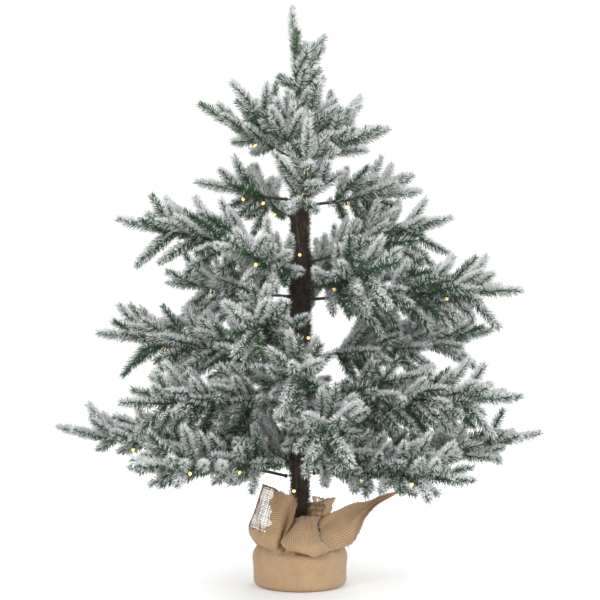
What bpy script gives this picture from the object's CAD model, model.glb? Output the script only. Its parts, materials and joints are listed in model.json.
# Artificial tabletop tree: flocked sprigs, bristly bark, lamps and a burlap-wrapped base.
import json
import math

import bmesh
import bpy
import numpy as np
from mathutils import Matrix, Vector


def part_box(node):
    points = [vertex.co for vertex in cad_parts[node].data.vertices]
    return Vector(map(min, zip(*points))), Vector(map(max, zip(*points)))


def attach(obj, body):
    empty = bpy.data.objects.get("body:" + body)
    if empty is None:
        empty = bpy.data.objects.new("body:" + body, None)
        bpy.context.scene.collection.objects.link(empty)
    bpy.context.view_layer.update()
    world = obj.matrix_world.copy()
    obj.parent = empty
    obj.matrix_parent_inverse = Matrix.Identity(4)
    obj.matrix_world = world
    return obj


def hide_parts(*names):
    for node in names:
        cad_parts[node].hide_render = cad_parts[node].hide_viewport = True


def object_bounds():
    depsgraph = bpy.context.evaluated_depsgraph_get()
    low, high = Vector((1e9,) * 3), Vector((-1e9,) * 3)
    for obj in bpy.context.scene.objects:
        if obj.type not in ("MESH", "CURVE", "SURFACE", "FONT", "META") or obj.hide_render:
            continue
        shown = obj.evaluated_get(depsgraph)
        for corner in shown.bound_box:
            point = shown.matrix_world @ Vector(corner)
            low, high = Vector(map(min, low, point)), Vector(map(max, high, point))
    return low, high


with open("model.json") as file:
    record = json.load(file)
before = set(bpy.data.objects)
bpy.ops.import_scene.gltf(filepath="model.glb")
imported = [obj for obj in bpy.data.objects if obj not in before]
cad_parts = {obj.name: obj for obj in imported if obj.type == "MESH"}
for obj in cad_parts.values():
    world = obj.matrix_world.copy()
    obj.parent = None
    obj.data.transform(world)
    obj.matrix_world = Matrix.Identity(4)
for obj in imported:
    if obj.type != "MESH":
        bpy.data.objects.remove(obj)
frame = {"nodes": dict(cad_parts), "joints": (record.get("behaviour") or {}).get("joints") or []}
cad_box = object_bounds()
MM = 0.001
SEED = 3


# ---- Geometry helpers ----

def unit(v):
    """Rows of v at length one."""
    return v / np.maximum(np.linalg.norm(v, axis=-1, keepdims=True), 1e-12)


def square_to(axis):
    """Two unit vectors square to each row of axis and to each other, the second one upwards."""
    up = np.zeros_like(axis)
    up[..., 2] = 1.0
    up[np.abs(axis[..., 2]) > 0.95] = (0.0, -1.0, 0.0)
    side = unit(np.cross(axis, up))
    return side, unit(np.cross(side, axis))


def node_points(node):
    """A CAD node's vertices and triangles, in metres."""
    mesh = frame["nodes"][node].data
    mesh.calc_loop_triangles()
    points = np.zeros(len(mesh.vertices) * 3)
    mesh.vertices.foreach_get("co", points)
    triangles = np.zeros(len(mesh.loop_triangles) * 3, int)
    mesh.loop_triangles.foreach_get("vertices", triangles)
    return points.reshape(-1, 3), triangles.reshape(-1, 3)


def islands(node):
    """The vertices of each separate solid of a CAD node."""
    points, triangles = node_points(node)
    spots, same = np.unique(np.round(points / 2e-6).astype(int), axis=0, return_inverse=True)
    corners = same.reshape(-1)[triangles]
    label = np.arange(len(spots))
    while True:
        low = label[corners].min(axis=1)
        new = label.copy()
        for k in range(3):
            np.minimum.at(new, corners[:, k], low)
        new = new[new]
        if (new == label).all():
            break
        label = new
    found = [spots[label == n] * 2e-6 for n in np.unique(label)]
    return sorted(found, key=lambda p: tuple(np.round(p.mean(axis=0), 4)))


def sprig_ends(points):
    """A sprig core's foot and tip: the foot is its wider end."""
    middle = points.mean(axis=0)
    axis = np.linalg.svd(points - middle, full_matrices=False)[2][0]
    along = (points - middle) @ axis
    ends = []
    for sign in (1, -1):
        near = points[sign * along > (sign * along).max() - 0.2 * MM]
        centre = near.mean(axis=0)
        ends.append((np.linalg.norm(near - centre, axis=1).mean(), centre))
    ends.sort(key=lambda e: -e[0])
    return ends[0][1], ends[1][1]


class Mesh:
    """Collects vertices with their frost and tone, and faces with their material number."""

    def __init__(self):
        self.points, self.faces, self.frost, self.tone, self.kind = [], [], [], [], []
        self.count = 0

    def add(self, points, faces, frost, tone, kind=0):
        self.points.append(points)
        self.faces += [tuple(f) for f in (np.asarray(faces) + self.count).tolist()]
        self.frost.append(np.broadcast_to(frost, len(points)))
        self.tone.append(np.broadcast_to(tone, len(points)))
        self.kind += [kind] * len(faces)
        self.count += len(points)

    def build(self, name, materials, smooth=True):
        mesh = bpy.data.meshes.new(name)
        mesh.from_pydata(np.concatenate(self.points), [], self.faces)
        for label, values in (("frost", self.frost), ("tone", self.tone)):
            layer = mesh.attributes.new(label, "FLOAT", "POINT")
            layer.data.foreach_set("value", np.concatenate(values).astype(np.float32))
        for material in materials:
            mesh.materials.append(material)
        mesh.polygons.foreach_set("material_index", np.array(self.kind, np.int32))
        mesh.polygons.foreach_set("use_smooth", np.full(len(mesh.polygons), smooth))
        mesh.update()
        piece = bpy.data.objects.new(name, mesh)
        bpy.context.scene.collection.objects.link(piece)
        return piece


# ---- Materials ----

class Nodes:
    """A new material's node tree, with short calls to add and join nodes."""

    def __init__(self, name):
        self.material = bpy.data.materials.new(name)
        self.material.use_nodes = True
        self.tree = self.material.node_tree
        self.shader = self.tree.nodes["Principled BSDF"]

    def add(self, kind, settings=None, **inputs):
        node = self.tree.nodes.new(kind)
        for key, value in (settings or {}).items():
            setattr(node, key, value)
        for key, value in inputs.items():
            self.feed(node.inputs[key.replace("_", " ")], value)
        return node

    def feed(self, socket, value):
        if isinstance(value, bpy.types.NodeSocket):
            self.tree.links.new(value, socket)
        else:
            socket.default_value = value

    def math(self, operation, a, b=0.0, c=0.0, clamp=False):
        node = self.add("ShaderNodeMath", {"operation": operation, "use_clamp": clamp})
        for socket, value in zip(node.inputs, (a, b, c)):
            self.feed(socket, value)
        return node.outputs[0]

    def mix(self, share, a, b):
        node = self.add("ShaderNodeMix", {"data_type": "RGBA"})
        for socket, value in ((node.inputs[0], share), (node.inputs[6], a), (node.inputs[7], b)):
            self.feed(socket, value)
        return node.outputs[2]

    def noise(self, scale, detail=4.0, roughness=0.6):
        where = self.add("ShaderNodeTexCoord").outputs["Object"]
        node = self.add("ShaderNodeTexNoise", Vector=where, Scale=scale, Detail=detail)
        node.inputs["Roughness"].default_value = roughness
        return node.outputs["Fac"]

    def value(self, name):
        return self.add("ShaderNodeAttribute", {"attribute_name": name}).outputs["Fac"]

    def bump(self, height, strength, distance):
        node = self.add("ShaderNodeBump", Height=height, Strength=strength, Distance=distance)
        self.feed(self.shader.inputs["Normal"], node.outputs["Normal"])


def stretch(nodes, value, low, high):
    """Spreads the range from low to high over 0 to 1."""
    node = nodes.add("ShaderNodeMapRange")
    nodes.feed(node.inputs["Value"], value)
    node.inputs["From Min"].default_value = low
    node.inputs["From Max"].default_value = high
    return node.outputs["Result"]


FROST_WHITE = (0.86, 0.87, 0.86, 1)
FROST_SHADE = (0.62, 0.65, 0.63, 1)
DEEP_GREEN = (0.030, 0.075, 0.042, 1)
LEAF_GREEN = (0.105, 0.200, 0.090, 1)
BLUE_GREEN = (0.085, 0.170, 0.115, 1)


def needle_material():
    """Green needles that turn white where their frost is high."""
    n = Nodes("flocked_needles")
    shade = stretch(n, n.noise(90.0), 0.3, 0.7)
    green = n.mix(n.value("tone"), LEAF_GREEN, BLUE_GREEN)
    green = n.mix(n.math("MULTIPLY", shade, 0.6), green, DEEP_GREEN)
    patch = stretch(n, n.noise(420.0, 3.0), 0.25, 0.75)
    amount = n.math("ADD", n.value("frost"), n.math("MULTIPLY", n.math("SUBTRACT", patch, 0.5), 0.55))
    amount = stretch(n, amount, 0.34, 0.66)
    white = n.mix(patch, FROST_SHADE, FROST_WHITE)
    n.feed(n.shader.inputs["Base Color"], n.mix(amount, green, white))
    n.feed(n.shader.inputs["Roughness"], n.math("MULTIPLY_ADD", amount, 0.45, 0.5))
    n.shader.inputs["Specular IOR Level"].default_value = 0.3
    n.bump(n.noise(2600.0, 2.0), 0.5, 0.0004)
    return n.material


def flock_material():
    """White lumps of flock."""
    n = Nodes("flock_clumps")
    shade = stretch(n, n.noise(500.0), 0.25, 0.75)
    n.feed(n.shader.inputs["Base Color"], n.mix(shade, (0.62, 0.66, 0.67, 1), (0.87, 0.89, 0.90, 1)))
    n.shader.inputs["Roughness"].default_value = 0.95
    n.shader.inputs["Specular IOR Level"].default_value = 0.2
    n.bump(n.noise(1800.0, 5.0), 0.8, 0.0006)
    return n.material


def bark_material(name, dark, light):
    """Rough brown, mixed from a dark and a light shade."""
    n = Nodes(name)
    shade = stretch(n, n.noise(160.0), 0.3, 0.7)
    n.feed(n.shader.inputs["Base Color"], n.mix(shade, dark, light))
    n.feed(n.shader.inputs["Roughness"], n.math("MULTIPLY_ADD", shade, 0.3, 0.55))
    n.bump(n.noise(900.0, 5.0), 0.8, 0.0008)
    return n.material


NEEDLES = needle_material()
FLOCK = flock_material()
BARK = bark_material("bark_bristles", (0.022, 0.015, 0.010, 1), (0.098, 0.068, 0.048, 1))
WIRE = bark_material("wrapped_wire", (0.020, 0.015, 0.010, 1), (0.075, 0.055, 0.038, 1))


# ---- Needles ----

NEEDLE_LEN = 13.2 * MM
NEEDLE_W = 1.3 * MM
NEEDLES_PER_M = 4300
STEM_NEEDLES_PER_M = 3000
# Length of bare wire between the bark and a branch's first needles
BARE_ROOT = 30 * MM
GOLDEN = math.radians(137.508)


def add_needles(mesh, root, way, bend, length, width, frost, tone):
    """Three-sided tapered needles: rows of roots, directions and bends, with their frost."""
    count = len(root)
    side, over = square_to(way)
    middle = root + way * (0.5 * length)[:, None] + bend * 0.3
    tip = root + way * length[:, None] + bend
    points = np.empty((count, 7, 3))
    for k in range(3):
        angle = k * math.tau / 3 + 0.5
        ring = side * math.cos(angle) + over * (0.55 * math.sin(angle))
        points[:, k] = root + ring * (0.42 * width)[:, None]
        points[:, 3 + k] = middle + ring * (0.5 * width)[:, None]
    points[:, 6] = tip
    base = (7 * np.arange(count))[:, None]
    quads = [base + np.array(q) for q in ((0, 1, 4, 3), (1, 2, 5, 4), (2, 0, 3, 5))]
    tips = [base + np.array(t) for t in ((3, 4, 6), (4, 5, 6), (5, 3, 6))]
    values = np.repeat(frost[:, None], 7, axis=1)
    values = values * np.array([0.35, 0.35, 0.35, 0.95, 0.95, 0.95, 1.25])
    shades = np.repeat(tone[:, None], 7, axis=1)
    start = mesh.count
    mesh.add(points.reshape(-1, 3), np.concatenate(quads), values.reshape(-1), shades.reshape(-1))
    mesh.faces += [tuple(f) for f in (np.concatenate(tips) + start).tolist()]
    mesh.kind += [0] * (3 * count)


def add_tube(mesh, path, radii, frost, tone, sides=6, kind=0):
    """A closed tube along a path with a radius at each point."""
    path = np.asarray(path)
    ways = unit(np.gradient(path, axis=0))
    side, over = square_to(ways)
    angles = np.arange(sides) * math.tau / sides
    rings = (path[:, None] + np.asarray(radii)[:, None, None]
             * (side[:, None] * np.cos(angles)[None, :, None]
                + over[:, None] * np.sin(angles)[None, :, None]))
    last = len(path) - 1
    quads = [(sides * k + c, sides * k + (c + 1) % sides, sides * (k + 1) + (c + 1) % sides,
              sides * (k + 1) + c) for k in range(last) for c in range(sides)]
    start = mesh.count
    mesh.add(rings.reshape(-1, 3), quads, frost, tone, kind)
    mesh.faces.append(tuple(start + c for c in reversed(range(sides))))
    mesh.faces.append(tuple(start + sides * last + c for c in range(sides)))
    mesh.kind += [kind, kind]


def add_clump(mesh, centre, size, rng):
    """A small uneven lump of flock."""
    grow = bmesh.new()
    bmesh.ops.create_icosphere(grow, subdivisions=1, radius=1.0)
    points = np.array([v.co[:] for v in grow.verts])
    faces = [[v.index for v in f.verts] for f in grow.faces]
    grow.free()
    points = points * (1 + 0.35 * rng.uniform(-1, 1, (len(points), 1)))
    mesh.add(centre + points * size, faces, 1.0, 0.5, kind=1)


def needle_rows(rng, path_at, length, amount, reach, lean):
    """Spiral of needles along a path: roots, directions, bends and their share of the length."""
    share = (np.arange(amount) + rng.uniform(0, 1, amount)) / amount
    centre, way = path_at(share)
    side, over = square_to(way)
    turn = np.arange(amount) * GOLDEN + rng.uniform(-0.5, 0.5, amount)
    out = side * np.cos(turn)[:, None] + over * np.sin(turn)[:, None]
    tilt = np.radians(lean(share) + rng.uniform(-9, 9, amount))
    direction = unit(way * np.cos(tilt)[:, None] + out * np.sin(tilt)[:, None]
                     + 0.055 * rng.normal(0, 1, (amount, 3)))
    size = reach * length(share) * rng.uniform(0.86, 1.06, amount)
    root = centre + out * 0.9 * MM
    bend = way * (0.09 * size)[:, None] + 0.05 * size[:, None] * rng.normal(0, 1, (amount, 3))
    return root, direction, bend, size, share


def grow_sprig(mesh, foot, tip, flock, tone, rng):
    """One moulded sprig: a spine with needles all round, whiter on top and towards its tip."""
    axis = tip - foot
    reach = np.linalg.norm(axis)
    way = axis / reach
    side, over = square_to(way[None])
    curve = over[0] * rng.uniform(-1.0, 3.5) * MM + side[0] * rng.uniform(-2.5, 2.5) * MM

    def path_at(share):
        s = np.asarray(share)[:, None]
        return foot + axis * (0.94 * s) + curve * s * s, unit(axis + 2 * s * curve)

    def length(s):
        return np.clip(0.66 + 1.6 * s, 0, 1) * np.clip(1.0 - 0.30 * (s - 0.6) / 0.4, 0.65, 1)

    def lean(s):
        return 63 - 33 * np.clip((s - 0.72) / 0.28, 0, 1) ** 1.5

    amount = int(NEEDLES_PER_M * reach)
    root, direction, bend, size, share = needle_rows(rng, path_at, length, amount, NEEDLE_LEN, lean)
    rise = direction[:, 2]
    frosted = rng.uniform(0, 1, amount) < flock * (0.66 + 0.46 * rise + 0.50 * (share - 0.35))
    frost = np.where(frosted, rng.uniform(0.7, 1.1, amount), rng.uniform(0.0, 0.32, amount))
    width = NEEDLE_W * (0.9 + 0.75 * np.clip(frost, 0, 1) ** 2) * rng.uniform(0.85, 1.15, amount)
    add_needles(mesh, root, direction, bend, size, width, frost, np.full(amount, tone))
    steps = np.linspace(0, 1, 6)
    add_tube(mesh, path_at(steps)[0], np.linspace(1.5, 0.7, 6) * MM, 0.25 * flock, tone)
    if flock > 0.66:
        for s in rng.uniform(0.25, 1.0, int(34 * (flock - 0.45) * 2)):
            centre = path_at(np.array([s]))[0][0]
            lift = side[0] * rng.normal(0, 3.4) * MM + over[0] * rng.uniform(0.5, 7.5) * MM
            add_clump(mesh, centre + lift, rng.uniform(0.9, 2.0, 3) * MM, rng)


def grow_stem(mesh, start, end, sag, flock, tone, rng):
    """Needles along a branch's own wire, from its bare root outwards."""
    axis = end - start
    reach = np.linalg.norm(axis)
    over = square_to(unit(axis)[None])[1]
    bare = min(0.5, BARE_ROOT / reach)

    def path_at(share):
        s = (bare + (1 - bare) * np.asarray(share))[:, None]
        return (start + axis * s - over[0] * 4 * sag * s * (1 - s),
                unit(axis - over[0] * 4 * sag * (1 - 2 * s)))

    amount = int(STEM_NEEDLES_PER_M * reach * (1 - bare))
    root, direction, bend, size, share = needle_rows(
        rng, path_at, lambda s: np.ones_like(s) * 0.85, amount, NEEDLE_LEN, lambda s: 68 + 0 * s)
    frosted = rng.uniform(0, 1, amount) < flock * (0.35 + 0.5 * direction[:, 2])
    frost = np.where(frosted, rng.uniform(0.6, 1.0, amount), rng.uniform(0.0, 0.25, amount))
    width = NEEDLE_W * (0.9 + 0.5 * frost)
    add_needles(mesh, root, direction, bend, size, width, frost, np.full(amount, tone))


def flock_of(tip, rng):
    """How thick the flock lies on a sprig: more on outer and upward sprigs, with chance."""
    radius = math.hypot(tip[0], tip[1])
    widest = max(0.08, 0.42 * (1.02 - tip[2] / cad_box[1][2]) + 0.06)
    outer = min(1.0, radius / widest)
    chance = rng.uniform(0, 1)
    if chance < 0.22:
        return rng.uniform(0.12, 0.38)
    if chance > 0.70:
        return rng.uniform(0.82, 1.0)
    return rng.uniform(0.42, 0.66) + 0.22 * outer


def sprigs_of(node):
    """Foot and tip of each sprig of a foliage node."""
    return [sprig_ends(points) for points in islands(node)]


def end_sprig(sprigs, start):
    """The sprig that continues the stem: in the branch's own plane, with the furthest foot."""
    out = unit(np.array([start[0], start[1], 0.0]))
    across = np.array([-out[1], out[0], 0.0])
    in_plane = [s for s in sprigs
                if abs((s[0] - start) @ across) < 0.5 * MM and abs((s[1] - start) @ across) < 0.5 * MM]
    return max(in_plane, key=lambda s: (s[0] - start) @ out)


def stem_sag(start, foot, tip):
    """How far the stem's arc lies below the line from its root to its end."""
    chord = foot - start
    rise = math.asin((chord / np.linalg.norm(chord))[2])
    end_rise = math.asin(unit(tip - foot)[2])
    return np.linalg.norm(chord) * 2 * (end_rise - rise) / 8


def seed_of(point):
    """A seed that depends only on where a piece is."""
    return SEED + int(abs(round(point[0] * 1e3)) * 7 + abs(round(point[1] * 1e3)) * 131
                      + abs(round(point[2] * 1e3)) * 1009)


def grow_branch(name, body, sprigs, stems, nodes):
    """All the needles of one branch as one piece, riding its body."""
    mesh = Mesh()
    for foot, tip in sprigs:
        rng = np.random.default_rng(seed_of(foot))
        grow_sprig(mesh, foot, tip, flock_of(tip, rng), rng.uniform(0, 1), rng)
    for start, end, sag in stems:
        rng = np.random.default_rng(seed_of(end))
        grow_stem(mesh, start, end, sag, rng.uniform(0.5, 0.9), rng.uniform(0, 1), rng)
    piece = mesh.build(name, [NEEDLES, FLOCK])
    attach(piece, body)
    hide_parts(*nodes)
    return piece


# ---- Burlap ----

def burlap_material():
    """Plain weave from the cloth's own coordinates, with frost where the frost value says."""
    n = Nodes("burlap_weave")
    where = n.add("ShaderNodeAttribute", {"attribute_name": "cloth"}).outputs["Vector"]
    parts = n.add("ShaderNodeSeparateXYZ", Vector=where)
    cells, waves = [], []
    wobble = n.math("MULTIPLY", n.noise(45.0), 0.9)
    for axis in ("X", "Y"):
        scaled = n.math("ADD", n.math("MULTIPLY", parts.outputs[axis], 1 / THREAD_PITCH), wobble)
        cells.append(n.math("FLOOR", scaled))
        waves.append(n.math("ABSOLUTE", n.math("SINE", n.math("MULTIPLY", scaled, math.pi))))
    over = n.math("PINGPONG", n.math("ADD", cells[0], cells[1]), 1.0)
    warp = n.math("MULTIPLY", waves[0], n.math("MULTIPLY_ADD", waves[1], 0.45, 0.55))
    weft = n.math("MULTIPLY", waves[1], n.math("MULTIPLY_ADD", waves[0], 0.45, 0.55))
    first = n.math("MULTIPLY", warp, n.math("MULTIPLY_ADD", over, 0.45, 0.55))
    second = n.math("MULTIPLY", weft, n.math("MULTIPLY_ADD", over, -0.45, 1.0))
    height = n.math("MAXIMUM", first, second)
    fibre = n.noise(700.0, 6.0)
    tint = stretch(n, n.noise(38.0), 0.3, 0.7)
    straw = n.mix(tint, (0.52, 0.325, 0.170, 1), (0.68, 0.465, 0.270, 1))
    thread = n.mix(n.math("MULTIPLY", fibre, 0.55), straw, (0.78, 0.59, 0.385, 1))
    cloth = n.mix(stretch(n, height, 0.16, 0.60), (0.20, 0.115, 0.058, 1), thread)
    frost = n.math("ADD", n.value("frost"), n.math("MULTIPLY", n.math("SUBTRACT", fibre, 0.5), 0.9))
    white = stretch(n, frost, 0.45, 0.95)
    n.feed(n.shader.inputs["Base Color"], n.mix(white, cloth, (0.80, 0.79, 0.77, 1)))
    n.feed(n.shader.inputs["Roughness"], n.math("MULTIPLY_ADD", fibre, 0.2, 0.78))
    n.shader.inputs["Specular IOR Level"].default_value = 0.2
    n.shader.inputs["Sheen Weight"].default_value = 0.15
    n.bump(n.math("ADD", height, n.math("MULTIPLY", fibre, 0.4)), 0.9, 0.0009)
    return n.material


THREAD_PITCH = 2.3 * MM
CLOTH_T = 1.2 * MM
THREAD_R = 0.42 * MM
BURLAP = burlap_material()


def curve_weights(t, count):
    """Catmull-Rom weights of each control point, at t from 0 to 1."""
    t = np.asarray(t, float) * (count - 1)
    weights = np.zeros((len(t), count))
    start = np.clip(np.floor(t).astype(int), 0, count - 2)
    f = t - start
    basis = (-0.5 * f + f ** 2 - 0.5 * f ** 3, 1 - 2.5 * f ** 2 + 1.5 * f ** 3,
             0.5 * f + 2 * f ** 2 - 1.5 * f ** 3, -0.5 * f ** 2 + 0.5 * f ** 3)
    for k, share in enumerate(basis):
        np.add.at(weights, (np.arange(len(t)), np.clip(start + k - 1, 0, count - 1)), share)
    return weights


class Patch:
    """A smooth surface through a grid of control points in mm, with small wrinkles."""

    def __init__(self, rows, wrinkle=0.8, seed=1):
        self.control = np.array(rows, float) * MM
        self.wrinkle = wrinkle * MM
        self.phase = np.random.default_rng(SEED + seed).uniform(0, math.tau, 6)

    def at(self, u, v):
        across = curve_weights(u, self.control.shape[1])
        up = curve_weights(v, self.control.shape[0])
        points = np.einsum("ni,nj,ijk->nk", up, across, self.control)
        a, b = np.asarray(u) * math.tau, np.asarray(v) * math.tau
        q = self.phase
        ripple = (np.sin(1.7 * a + 0.8 * b + q[0]) + 0.7 * np.sin(2.9 * b - 1.1 * a + q[1])
                  + 0.5 * np.sin(4.3 * a + 2.1 * b + q[2]))
        return points + self.wrinkle * np.stack(
            [ripple, np.sin(2.3 * b + q[3]) + ripple, 0.6 * np.sin(3.1 * a + q[4])], axis=1)


def slab(mesh, grid, cloth, keep, frost):
    """Closed cloth of one thickness over the kept cells of a grid of points."""
    rows, columns = grid.shape[:2]
    along = np.gradient(grid, axis=1)
    up = np.gradient(grid, axis=0)
    out = unit(np.cross(along, up))
    number = np.arange(rows * columns).reshape(rows, columns)
    flat = grid.reshape(-1, 3)
    shift = out.reshape(-1, 3) * CLOTH_T / 2
    total = rows * columns
    faces = []
    for r in range(rows - 1):
        for c in range(columns - 1):
            if not keep[r, c]:
                continue
            quad = (number[r, c], number[r, c + 1], number[r + 1, c + 1], number[r + 1, c])
            faces.append(quad)
            faces.append(tuple(total + q for q in reversed(quad)))
            sides = (((r - 1, c), quad[0], quad[1]), ((r, c + 1), quad[1], quad[2]),
                     ((r + 1, c), quad[2], quad[3]), ((r, c - 1), quad[3], quad[0]))
            for (nr, nc), a, b in sides:
                inside = 0 <= nr < rows - 1 and 0 <= nc < columns - 1 and keep[nr, nc]
                if not inside:
                    faces.append((b, a, total + a, total + b))
    used = np.unique(np.array(faces))
    place = np.full(2 * total, -1)
    place[used] = np.arange(len(used))
    points = np.concatenate([flat + shift, flat - shift])[used]
    mesh.add(points, place[np.array(faces)], np.tile(frost.reshape(-1), 2)[used], 0.5)
    mesh.cloth.append(np.tile(cloth.reshape(-1, 2), (2, 1))[used])


class Cloth(Mesh):
    """A mesh whose vertices also carry their place on the flat cloth, in metres."""

    def __init__(self):
        super().__init__()
        self.cloth = []

    def build(self, name, materials, smooth=True):
        piece = super().build(name, materials, smooth)
        flat = np.concatenate(self.cloth)
        layer = piece.data.attributes.new("cloth", "FLOAT_VECTOR", "POINT")
        layer.data.foreach_set("vector", np.column_stack([flat, 0 * flat[:, :1]]).ravel())
        return piece

    def thread(self, path, radius, frost):
        """A thin thread, its cloth coordinates along one thread of the weave."""
        add_tube(self, path, np.full(len(path), radius), frost, 0.5, sides=4)
        where = np.repeat(np.linspace(0, 0.01, len(path)), 4)
        self.cloth.append(np.column_stack([where, np.full(len(where), THREAD_PITCH / 2)]))


def grid_of(patch, size, step=1.6 * MM):
    """Points of a patch on an even grid, with their place on the flat cloth."""
    columns, rows = (max(8, int(x / step)) for x in size)
    u, v = np.meshgrid(np.linspace(0, 1, columns), np.linspace(0, 1, rows))
    points = patch.at(u.ravel(), v.ravel()).reshape(rows, columns, 3)
    return points, np.stack([u * size[0], v * size[1]], axis=-1), u, v


def net(mesh, patch, size, u_range, v_range, rng, frost):
    """Open weave: threads both ways over part of a patch, with loose ends past its edges."""
    for way in (0, 1):
        run, other = (u_range, v_range) if way == 0 else (v_range, u_range)
        count = int((other[1] - other[0]) * size[1 - way] / (0.72 * THREAD_PITCH))
        for place in np.linspace(other[0], other[1], count):
            place = place + rng.uniform(-0.25, 0.25) * THREAD_PITCH / size[1 - way]
            steps = np.linspace(run[0], run[1], int((run[1] - run[0]) * size[way] / (1.3 * MM)))
            fixed = np.full(len(steps), place)
            points = patch.at(steps, fixed) if way == 0 else patch.at(fixed, steps)
            sway = rng.normal(0, 0.12, (len(steps), 3)) * MM
            mesh.thread(points + sway, THREAD_R * rng.uniform(0.75, 1.1), frost)


def fray(mesh, patch, size, edge, rng, frost, length=5.0, share=1.0):
    """Loose thread ends that stand out past one edge of a patch."""
    span = size[0] if edge in ("top", "bottom") else size[1]
    count = int(share * span / (0.75 * THREAD_PITCH))
    for t in (np.arange(count) + rng.uniform(0, 1, count)) / count:
        inner, outer = {"top": ((t, 0.96), (t, 1.0)), "bottom": ((t, 0.04), (t, 0.0)),
                        "left": ((0.04, t), (0.0, t)), "right": ((0.96, t), (1.0, t))}[edge]
        a = patch.at([inner[0]], [inner[1]])[0]
        b = patch.at([outer[0]], [outer[1]])[0]
        way = unit((b - a)[None])[0]
        reach = rng.uniform(0.3, 1.0) * length * MM
        drift = rng.normal(0, 0.35, 3) * reach
        steps = np.linspace(0, 1, 6)[:, None]
        points = b - way * 1.2 * MM + way * (reach + 1.2 * MM) * steps + drift * steps ** 2
        mesh.thread(points, THREAD_R * rng.uniform(0.6, 1.0), frost)


def loose_flap(name, rows, size, frayed, seed, open_part=None, frost_at=None):
    """One loose flap of the gathered cloth, with its frayed edges and open weave."""
    rng = np.random.default_rng(SEED + seed)
    patch = Patch(rows, seed=seed)
    points, cloth, u, v = grid_of(patch, size)
    keep = np.ones((points.shape[0] - 1, points.shape[1] - 1), bool)
    threads = Cloth()
    if open_part:
        u_range, v_range = open_part
        cell_u = (u[:-1, :-1] + u[1:, 1:]) / 2
        cell_v = (v[:-1, :-1] + v[1:, 1:]) / 2
        ragged = u_range[1] + 0.05 * np.sin(13 * cell_v) + 0.03 * np.sin(37 * cell_v)
        keep &= ~((cell_u > u_range[0]) & (cell_u < ragged)
                  & (cell_v > v_range[0]) & (cell_v < v_range[1]))
        net(threads, patch, size, (u_range[0], u_range[1] + 0.08), v_range, rng, 0.12)
    frost = frost_at(u, v) if frost_at else np.zeros_like(u)
    sheet = Cloth()
    slab(sheet, points, cloth, keep, frost)
    piece = sheet.build(name, [BURLAP])
    for edge, whiteness, length in frayed:
        fray(threads, patch, size, edge, rng, whiteness, length)
    fringe = threads.build(name + "_threads", [BURLAP])
    for part in (piece, fringe):
        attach(part, "trunk")
    return piece


# Base cloth: the round base, drawn in with folds to the neck. Radius and height in mm.
BASE_PROFILE = [(2, 0.7), (34, 0.7), (60, 0.7), (68, 2.0), (72.5, 8), (73.6, 18), (73.2, 30),
                (73.8, 42), (72, 51), (66, 58.5), (56, 63), (45, 67), (35, 72), (26, 78),
                (20, 83), (16.6, 87)]
BASE_FOLDS = 15
BASE_CLOTH_R = 73
# How far the weave leans from the base's upright
WEAVE_LEAN = 0.72


def base_cloth():
    """The burlap over the base, drawn in at its top, with the weave running aslant."""
    profile = np.array(BASE_PROFILE, float)
    steps = np.linspace(0, 1, 76)
    line = curve_weights(steps, len(profile)) @ profile
    angles = np.linspace(0, math.tau, 221)
    turn, level = np.meshgrid(angles, steps)
    radius = np.repeat(line[:, :1], len(angles), axis=1)
    height = np.repeat(line[:, 1:], len(angles), axis=1)
    gather = np.clip((height - 50) / 30, 0, 1) * np.clip((radius - 14) / 8, 0, 1)
    wander = 0.9 * np.sin(3 * turn + 1.0) + 0.6 * np.sin(5 * turn + 2.0)
    fold = np.cos(BASE_FOLDS * turn + wander + 1.5 * level)
    radius = radius + gather * 1.6 * fold
    height = height + gather * (3.4 * fold + 1.2 * np.cos(2.3 * BASE_FOLDS * turn))
    side = np.clip((height - 4) / 10, 0, 1) * np.clip((62 - height) / 8, 0, 1)
    radius = radius - side * (0.9 + 0.9 * np.sin(4 * turn + 0.08 * height + 0.6))
    tuck = np.exp(-((np.abs((turn - math.radians(262) + math.pi) % math.tau - math.pi)) / 0.5) ** 4)
    crease = tuck * np.exp(-((height - 57.5) / 2.6) ** 2)
    radius = radius - 5.0 * crease
    height = height - 1.5 * crease
    height = np.maximum(height, 0.7)
    points = np.stack([radius * np.cos(turn), radius * np.sin(turn), height], axis=-1) * MM
    # the weave runs diagonally round the side
    run = np.concatenate([[0], np.cumsum(np.linalg.norm(np.diff(line, axis=0), axis=1))])
    along = turn * BASE_CLOTH_R * MM
    up = np.repeat(run[:, None], len(angles), axis=1) * MM
    cloth = np.stack([along + WEAVE_LEAN * up, up - WEAVE_LEAN * along], axis=-1)
    points[:, -1] = points[:, 0]
    mesh = Cloth()
    keep = np.ones((len(steps) - 1, len(angles) - 1), bool)
    slab(mesh, points, cloth, keep, np.zeros(turn.shape))
    piece = mesh.build("burlap_base", [BURLAP])
    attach(piece, "trunk")
    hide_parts("burlap_wrap")
    return piece


def ruffle():
    """The gathered cloth that stands up round the bark above the tie."""
    columns, rows = 200, 16
    angle, v = np.meshgrid(np.linspace(0, math.tau, columns), np.linspace(0, 1, rows))
    wander = 0.8 * np.sin(2 * angle + 0.5)
    fold = np.cos(11 * angle + wander)
    radius = 16.4 + 8.0 * v ** 1.2 + (1.2 + 2.6 * v) * fold
    height = 84 + 19 * v + 2.5 * v * np.sin(3 * angle + 1) + 1.5 * v * fold
    points = np.stack([radius * np.cos(angle), radius * np.sin(angle), height], axis=-1) * MM
    points[:, -1] = points[:, 0]
    cloth = np.stack([angle * 40 * MM, v * 22 * MM], axis=-1)
    mesh = Cloth()
    slab(mesh, points, cloth, np.ones((rows - 1, columns - 1), bool), np.zeros(angle.shape))
    piece = mesh.build("burlap_collar", [BURLAP])
    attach(piece, "trunk")
    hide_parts("burlap_ruffle")


base_cloth()
ruffle()

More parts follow.
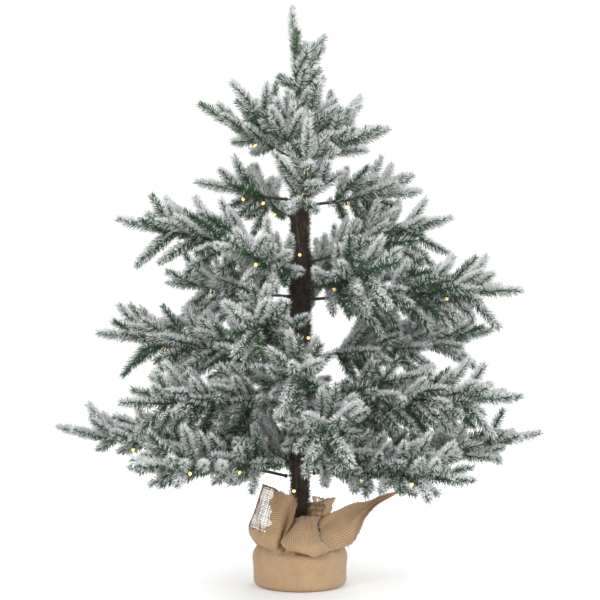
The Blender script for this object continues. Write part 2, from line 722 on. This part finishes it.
# Each flap: rows of control points in mm, from its foot up or from its foot outwards
loose_flap("burlap_left_flap", [
    [(-66, -20, 65), (-54, -36, 61), (-44, -46, 60), (-34, -50, 60), (-28, -38, 62), (-24, -52, 60)],
    [(-80, -14, 84), (-62, -36, 79), (-46, -48, 77), (-34, -50, 75), (-28, -32, 74), (-30, -47, 70)],
    [(-76, -12, 100), (-61, -32, 97), (-44, -43, 95), (-32, -44, 93), (-24, -25, 90), (-21, -40, 86)],
    [(-66, -13, 128), (-54, -26, 125), (-40, -34, 122), (-27, -34, 120), (-16, -19, 117),
     (-11, -32, 108)],
    [(-57, -12, 155), (-46, -18, 151), (-35, -22, 147), (-24, -24, 144), (-11, -18, 138),
     (-6, -27, 126)],
], size=(0.090, 0.092), frayed=[("left", 0.8, 5), ("top", 0.5, 5), ("right", 0.1, 3.5)], seed=11,
    open_part=((-0.1, 0.34), (0.36, 1.1)),
    frost_at=lambda u, v: np.clip(1.1 - 2.2 * u, 0, 1) * np.clip(2.5 * (v - 0.25), 0, 1))

loose_flap("burlap_right_flap", [
    [(40, -52, 60), (62, -47, 63), (82, -38, 72), (93, -29, 90), (104, -20, 109), (124, -14, 127),
     (147, -10, 141)],
    [(34, -42, 74), (56, -32, 84), (76, -25, 92), (89, -16, 104), (106, -10, 117), (126, -8, 131),
     (148, -9, 142)],
    [(30, -28, 88), (50, -16, 98), (70, -10, 108), (86, -5, 117), (107, -5, 125), (128, -5, 136),
     (149, -8, 143)],
    [(28, -16, 100), (46, -8, 109), (66, -4, 118), (84, -9, 126), (108, -10, 131),
     (130, -10, 140), (151, -8, 145)],
], size=(0.142, 0.048), frayed=[("top", 0.25, 3.5), ("bottom", 0.2, 3.5), ("right", 0.3, 10)],
    seed=23,
    frost_at=lambda u, v: 0.45 * np.exp(-((u - 0.45) ** 2 + (v - 0.95) ** 2) / 0.02))

loose_flap("burlap_front_flap", [
    [(-18, -66, 63), (0, -72, 61), (22, -78, 57), (43, -68, 63)],
    [(-28, -58, 72), (-5, -67, 72), (16, -69, 71), (37, -60, 72)],
    [(-24, -47, 83), (-4, -56, 84), (15, -57, 83), (28, -49, 83)],
    [(-10, -35, 96), (4, -41, 98), (17, -41, 97), (26, -35, 96)],
    [(-2, -25, 107), (7, -28, 109), (16, -28, 109), (25, -24, 108)],
], size=(0.056, 0.072), frayed=[("right", 0.85, 4), ("top", 0.1, 3), ("bottom", 0.35, 3)],
    seed=37,
    frost_at=lambda u, v: np.clip(3 * (u - 0.78), 0, 0.7) * np.clip(1.3 - v, 0, 1))

loose_flap("burlap_back_flap", [
    [(36, 26, 74), (16, 38, 72), (-8, 42, 72), (-34, 34, 72)],
    [(38, 26, 92), (16, 38, 90), (-10, 42, 90), (-36, 36, 88)],
    [(42, 26, 110), (18, 40, 106), (-12, 46, 104), (-36, 42, 104)],
    [(46, 24, 128), (20, 42, 120), (-12, 48, 116), (-34, 46, 120)],
], size=(0.083, 0.052), frayed=[("top", 0.3, 5), ("left", 0.4, 4), ("right", 0.2, 4)],
    seed=41)

loose_flap("burlap_side_tuft", [
    [(18, -14, 99), (27, -13, 98), (36, -8, 98), (46, 2, 100)],
    [(19, -15, 118), (29, -15, 117), (38, -9, 116), (50, 2, 118)],
    [(20, -13, 137), (30, -13, 135), (40, -8, 132), (54, 2, 134)],
], size=(0.038, 0.039), frayed=[("top", 0.6, 5), ("right", 0.15, 5)], seed=53,
    open_part=((-0.1, 0.62), (0.12, 1.1)),
    frost_at=lambda u, v: np.clip(1.2 - 1.6 * u, 0, 1))


def twine():
    """Two turns of three-strand twine round the neck."""
    low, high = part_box("neck_tie")
    centre = (low[2] + high[2]) / 2
    mesh = Cloth()
    turns = np.linspace(0, math.tau, 260)
    for level in (-0.75 * MM, 0.75 * MM):
        for strand in range(3):
            twist = 34 * turns + strand * math.tau / 3
            radius = high[0] - 1.5 * MM + 0.42 * MM * np.cos(twist)
            mesh.thread(np.stack([radius * np.cos(turns), radius * np.sin(turns),
                                  centre + level + 0.42 * MM * np.sin(twist)], axis=1), 0.5 * MM, 0.0)
    piece = mesh.build("neck_twine", [BURLAP])
    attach(piece, "trunk")
    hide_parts("neck_tie")


twine()


# ---- Bark ----

BRISTLES = 14000


def bark():
    """A lumpy core with short curled brown bristles all over it."""
    points = node_points("bark_wrap")[0]
    low, high = points.min(axis=0), points.max(axis=0)
    levels = np.linspace(low[2] + 2 * MM, high[2] - 1 * MM, 170)
    rings = np.hypot(points[:, 0], points[:, 1])
    edges = []
    for z in np.unique(np.round(points[:, 2], 5)):
        at_level = np.abs(points[:, 2] - z) < 0.1 * MM
        if rings[at_level].max() > 8.5 * MM:
            edges.append((z, rings[at_level].max()))
    edges = np.array(edges)
    outline = np.interp(levels, edges[:, 0], edges[:, 1])
    outline = np.clip(outline, 8.8 * MM, 17 * MM) - 1.6 * MM
    rng = np.random.default_rng(SEED + 71)
    columns = 48
    angle, z = np.meshgrid(np.linspace(0, math.tau, columns, endpoint=False), levels)
    lump = (np.sin(5 * angle + 90 * z) + np.sin(3 * angle - 140 * z + 1) + np.sin(8 * angle + 230 * z))
    radius = outline[:, None] + lump * 0.8 * MM - 1.2 * MM
    mesh = Mesh()
    grid = np.stack([radius * np.cos(angle), radius * np.sin(angle), z], axis=-1)
    faces = [(r * columns + c, r * columns + (c + 1) % columns,
              (r + 1) * columns + (c + 1) % columns, (r + 1) * columns + c)
             for r in range(len(levels) - 1) for c in range(columns)]
    mesh.add(grid.reshape(-1, 3), faces, 0.0, 0.5)
    for ring, flip in ((0, True), (len(levels) - 1, False)):
        cap = tuple(ring * columns + c for c in range(columns))
        mesh.faces.append(tuple(reversed(cap)) if flip else cap)
        mesh.kind.append(0)
    place = rng.uniform(0, 1, BRISTLES)
    height = levels[0] + place * (levels[-1] - levels[0])
    turn = rng.uniform(0, math.tau, BRISTLES)
    base = np.interp(height, levels, outline) - 0.5 * MM
    out = np.stack([np.cos(turn), np.sin(turn), 0 * turn], axis=1)
    round_way = np.stack([-np.sin(turn), np.cos(turn), 0 * turn], axis=1)
    lean = rng.normal(0, 0.75, (BRISTLES, 1)) * round_way
    lift = np.zeros((BRISTLES, 3))
    lift[:, 2] = rng.normal(0.25, 0.75, BRISTLES)
    way = unit(0.95 * out + lean + lift)
    size = rng.uniform(5.0, 12.5, BRISTLES) * MM
    root = out * base[:, None]
    root[:, 2] = height
    curl = -0.28 * size[:, None] * out + 0.2 * size[:, None] * rng.normal(0, 1, (BRISTLES, 3))
    frost = rng.uniform(0, 0.3, BRISTLES)
    add_needles(mesh, root, way, curl, size, np.full(BRISTLES, 0.95 * MM), frost,
                rng.uniform(0, 1, BRISTLES))
    piece = mesh.build("trunk_bark", [BARK])
    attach(piece, "trunk")
    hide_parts("bark_wrap")


bark()


# ---- Lamps ----

def lamp_material():
    """Warm lamp that glows."""
    n = Nodes("warm_lamp")
    glow = stretch(n, n.noise(600.0), 0.2, 0.8)
    warm = n.mix(glow, (1.0, 0.56, 0.15, 1), (1.0, 0.76, 0.34, 1))
    n.feed(n.shader.inputs["Base Color"], warm)
    n.feed(n.shader.inputs["Emission Color"], warm)
    n.shader.inputs["Emission Strength"].default_value = 1.2
    n.shader.inputs["Roughness"].default_value = 0.2
    return n.material


def lead_material():
    """Dark thin lead."""
    n = Nodes("clear_lead")
    shade = n.noise(300.0)
    n.feed(n.shader.inputs["Base Color"], n.mix(shade, (0.030, 0.022, 0.015, 1), (0.080, 0.060, 0.042, 1)))
    n.shader.inputs["Roughness"].default_value = 0.3
    return n.material


LAMP = lamp_material()
LEAD = lead_material()
# A glow's radii in mm along its length, and where lamps hang along a branch and a crown stem
LAMP_SHARES = (0.42, 0.8)
CROWN_LAMP_SHARES = (0.6,)
LAMP_PROFILE = [(0.0, 1.6), (0.25, 2.4), (0.6, 2.5), (0.85, 1.9), (1.0, 0.7)]
BULB_LEN = 6.5 * MM


def add_lamp(mesh, end, way):
    """A clear drop over a CAD lamp: way points out of its end."""
    path = [end - way * (BULB_LEN * (1 - share)) + way * 0.5 * MM for share, _ in LAMP_PROFILE]
    add_tube(mesh, path, [r * MM for _, r in LAMP_PROFILE], 0.0, 0.5, sides=12)


def lamp_ends(points, start, end, shares):
    """Ends of the lamps that hang under a stem near some shares of its length."""
    axis = end - start
    level = unit(np.array([axis[0], axis[1], 0.0]))
    run = (points - start) @ level
    reach = axis @ level
    up = unit(np.array([0, 0, 1.0]) - unit(axis)[2] * unit(axis))
    found = []
    for share in shares:
        near = points[np.abs(run - share * reach) < 9 * MM]
        line = start + share * axis
        if len(near) == 0:
            continue
        low = near[(near - line) @ up < ((near - line) @ up).min() + 0.4 * MM]
        if (line - low.mean(axis=0)) @ up > 6.5 * MM:
            found.append((low.mean(axis=0), -up))
    return found


def close_to(points, start, end):
    """The points near the upright plane through a crown stem, and not far below it."""
    way = unit(end - start)
    across = unit(np.array([-way[1], way[0], 0.0]))
    shift = points - start
    below = np.linalg.norm(shift - (shift @ way)[:, None] * way, axis=1)
    return points[(np.abs(shift @ across) < 4 * MM) & (shift @ way > 20 * MM) & (below < 18 * MM)]


def lamps_on(name, body, ends):
    """One piece with a glow over each lamp of a body."""
    if not ends:
        return
    mesh = Mesh()
    for end, way in ends:
        add_lamp(mesh, end, way)
    piece = mesh.build(name, [LAMP])
    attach(piece, body)


def trunk_lamps():
    """Glows over the lamps on the trunk, whose lead is the longest solid of its node."""
    ends = []
    solids = sorted(islands("light_string"), key=len)[:-1]
    for solid in solids:
        middle = solid.mean(axis=0)
        way = unit(np.array([middle[0], middle[1], 0.0]))
        ends.append((solid[(solid @ way).argmax()], way))
    lamps_on("trunk_lamps", "trunk", ends)
    node = frame["nodes"]["light_string"].data
    node.materials.clear()
    node.materials.append(LEAD)


trunk_lamps()


# ---- Branches ----

for joint in frame["joints"]:
    body = joint["child"]
    start = np.array(joint["pos_m"])
    sprigs = sprigs_of(body + "_foliage")
    foot, tip = end_sprig(sprigs, start)
    stems = [(start, foot, stem_sag(start, foot, tip))]
    grow_branch(body + "_needles", body, sprigs, stems, [body + "_foliage"])
    glows = lamp_ends(node_points(body + "_stem")[0], start, foot, LAMP_SHARES)
    lamps_on(body + "_lamps", body, glows)
    frame["nodes"][body + "_stem"].data.materials.clear()
    frame["nodes"][body + "_stem"].data.materials.append(WIRE)

# Crown: a stem runs to each sprig whose line leads back to the collar
collar = np.array([0.0, 0.0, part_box("trunk_pole")[1][2]])
crown_sprigs = sprigs_of("crown_foliage")
crown_stems = []
for foot, tip in crown_sprigs:
    way = unit(tip - foot)
    flat = math.hypot(way[0], way[1])
    back = foot - way * ((foot[0] * way[0] + foot[1] * way[1]) / flat ** 2 if flat > 0.05 else 0)
    if flat < 0.05 or (math.hypot(back[0], back[1]) < 12 * MM and abs(back[2] - collar[2]) < 40 * MM):
        crown_stems.append((collar, foot, 0.0))
grow_branch("crown_needles", "trunk", crown_sprigs, crown_stems, ["crown_foliage"])
crown_points = node_points("crown_stems")[0]
crown_glows = []
for start, foot, _ in crown_stems:
    if math.hypot(foot[0], foot[1]) > 20 * MM:
        near = close_to(crown_points, start, foot)
        crown_glows += lamp_ends(near, start, foot, CROWN_LAMP_SHARES)
lamps_on("crown_lamps", "trunk", crown_glows)
frame["nodes"]["crown_stems"].data.materials.clear()
frame["nodes"]["crown_stems"].data.materials.append(WIRE)


# ---- Floor, light and camera ----

def stage():
    """Pale floor."""
    bpy.ops.mesh.primitive_plane_add(size=60, location=(0, 0, 0))
    floor = bpy.context.object
    floor.name = "floor"
    n = Nodes("pale_floor")
    shade = n.noise(1.2)
    n.feed(n.shader.inputs["Base Color"], n.mix(shade, (0.97, 0.97, 0.97, 1), (0.99, 0.99, 0.99, 1)))
    n.shader.inputs["Roughness"].default_value = 0.9
    floor.data.materials.append(n.material)


def area_light(name, place, target, size, power):
    """A square light that faces a target."""
    data = bpy.data.lights.new(name, "AREA")
    data.shape = "SQUARE"
    data.size = size
    data.energy = power
    light = bpy.data.objects.new(name, data)
    light.location = place
    light.rotation_euler = (Vector(target) - Vector(place)).to_track_quat("-Z", "Y").to_euler()
    bpy.context.scene.collection.objects.link(light)


def studio():
    """Three soft lights and a white surround."""
    middle = (0, 0, 0.45)
    area_light("key", (-1.6, -2.2, 2.3), middle, 1.6, 36)
    area_light("fill", (2.2, -1.6, 1.2), middle, 2.0, 22)
    area_light("back", (0.3, 2.4, 1.9), middle, 2.0, 30)
    world = bpy.data.worlds.new("studio")
    world.use_nodes = True
    world.node_tree.nodes["Background"].inputs["Color"].default_value = (1, 1, 1, 1)
    world.node_tree.nodes["Background"].inputs["Strength"].default_value = 1.1
    bpy.context.scene.world = world


def camera():
    """Level view from the front."""
    data = bpy.data.cameras.new("camera")
    data.lens = 82.6
    data.sensor_width = 36
    data.shift_y = -0.008
    view = bpy.data.objects.new("camera", data)
    view.location = (0, -2.15, 0.45)
    view.rotation_euler = (math.radians(90), 0, 0)
    bpy.context.scene.collection.objects.link(view)
    bpy.context.scene.camera = view


stage()
studio()
camera()
bpy.context.scene.view_settings.view_transform = "Standard"
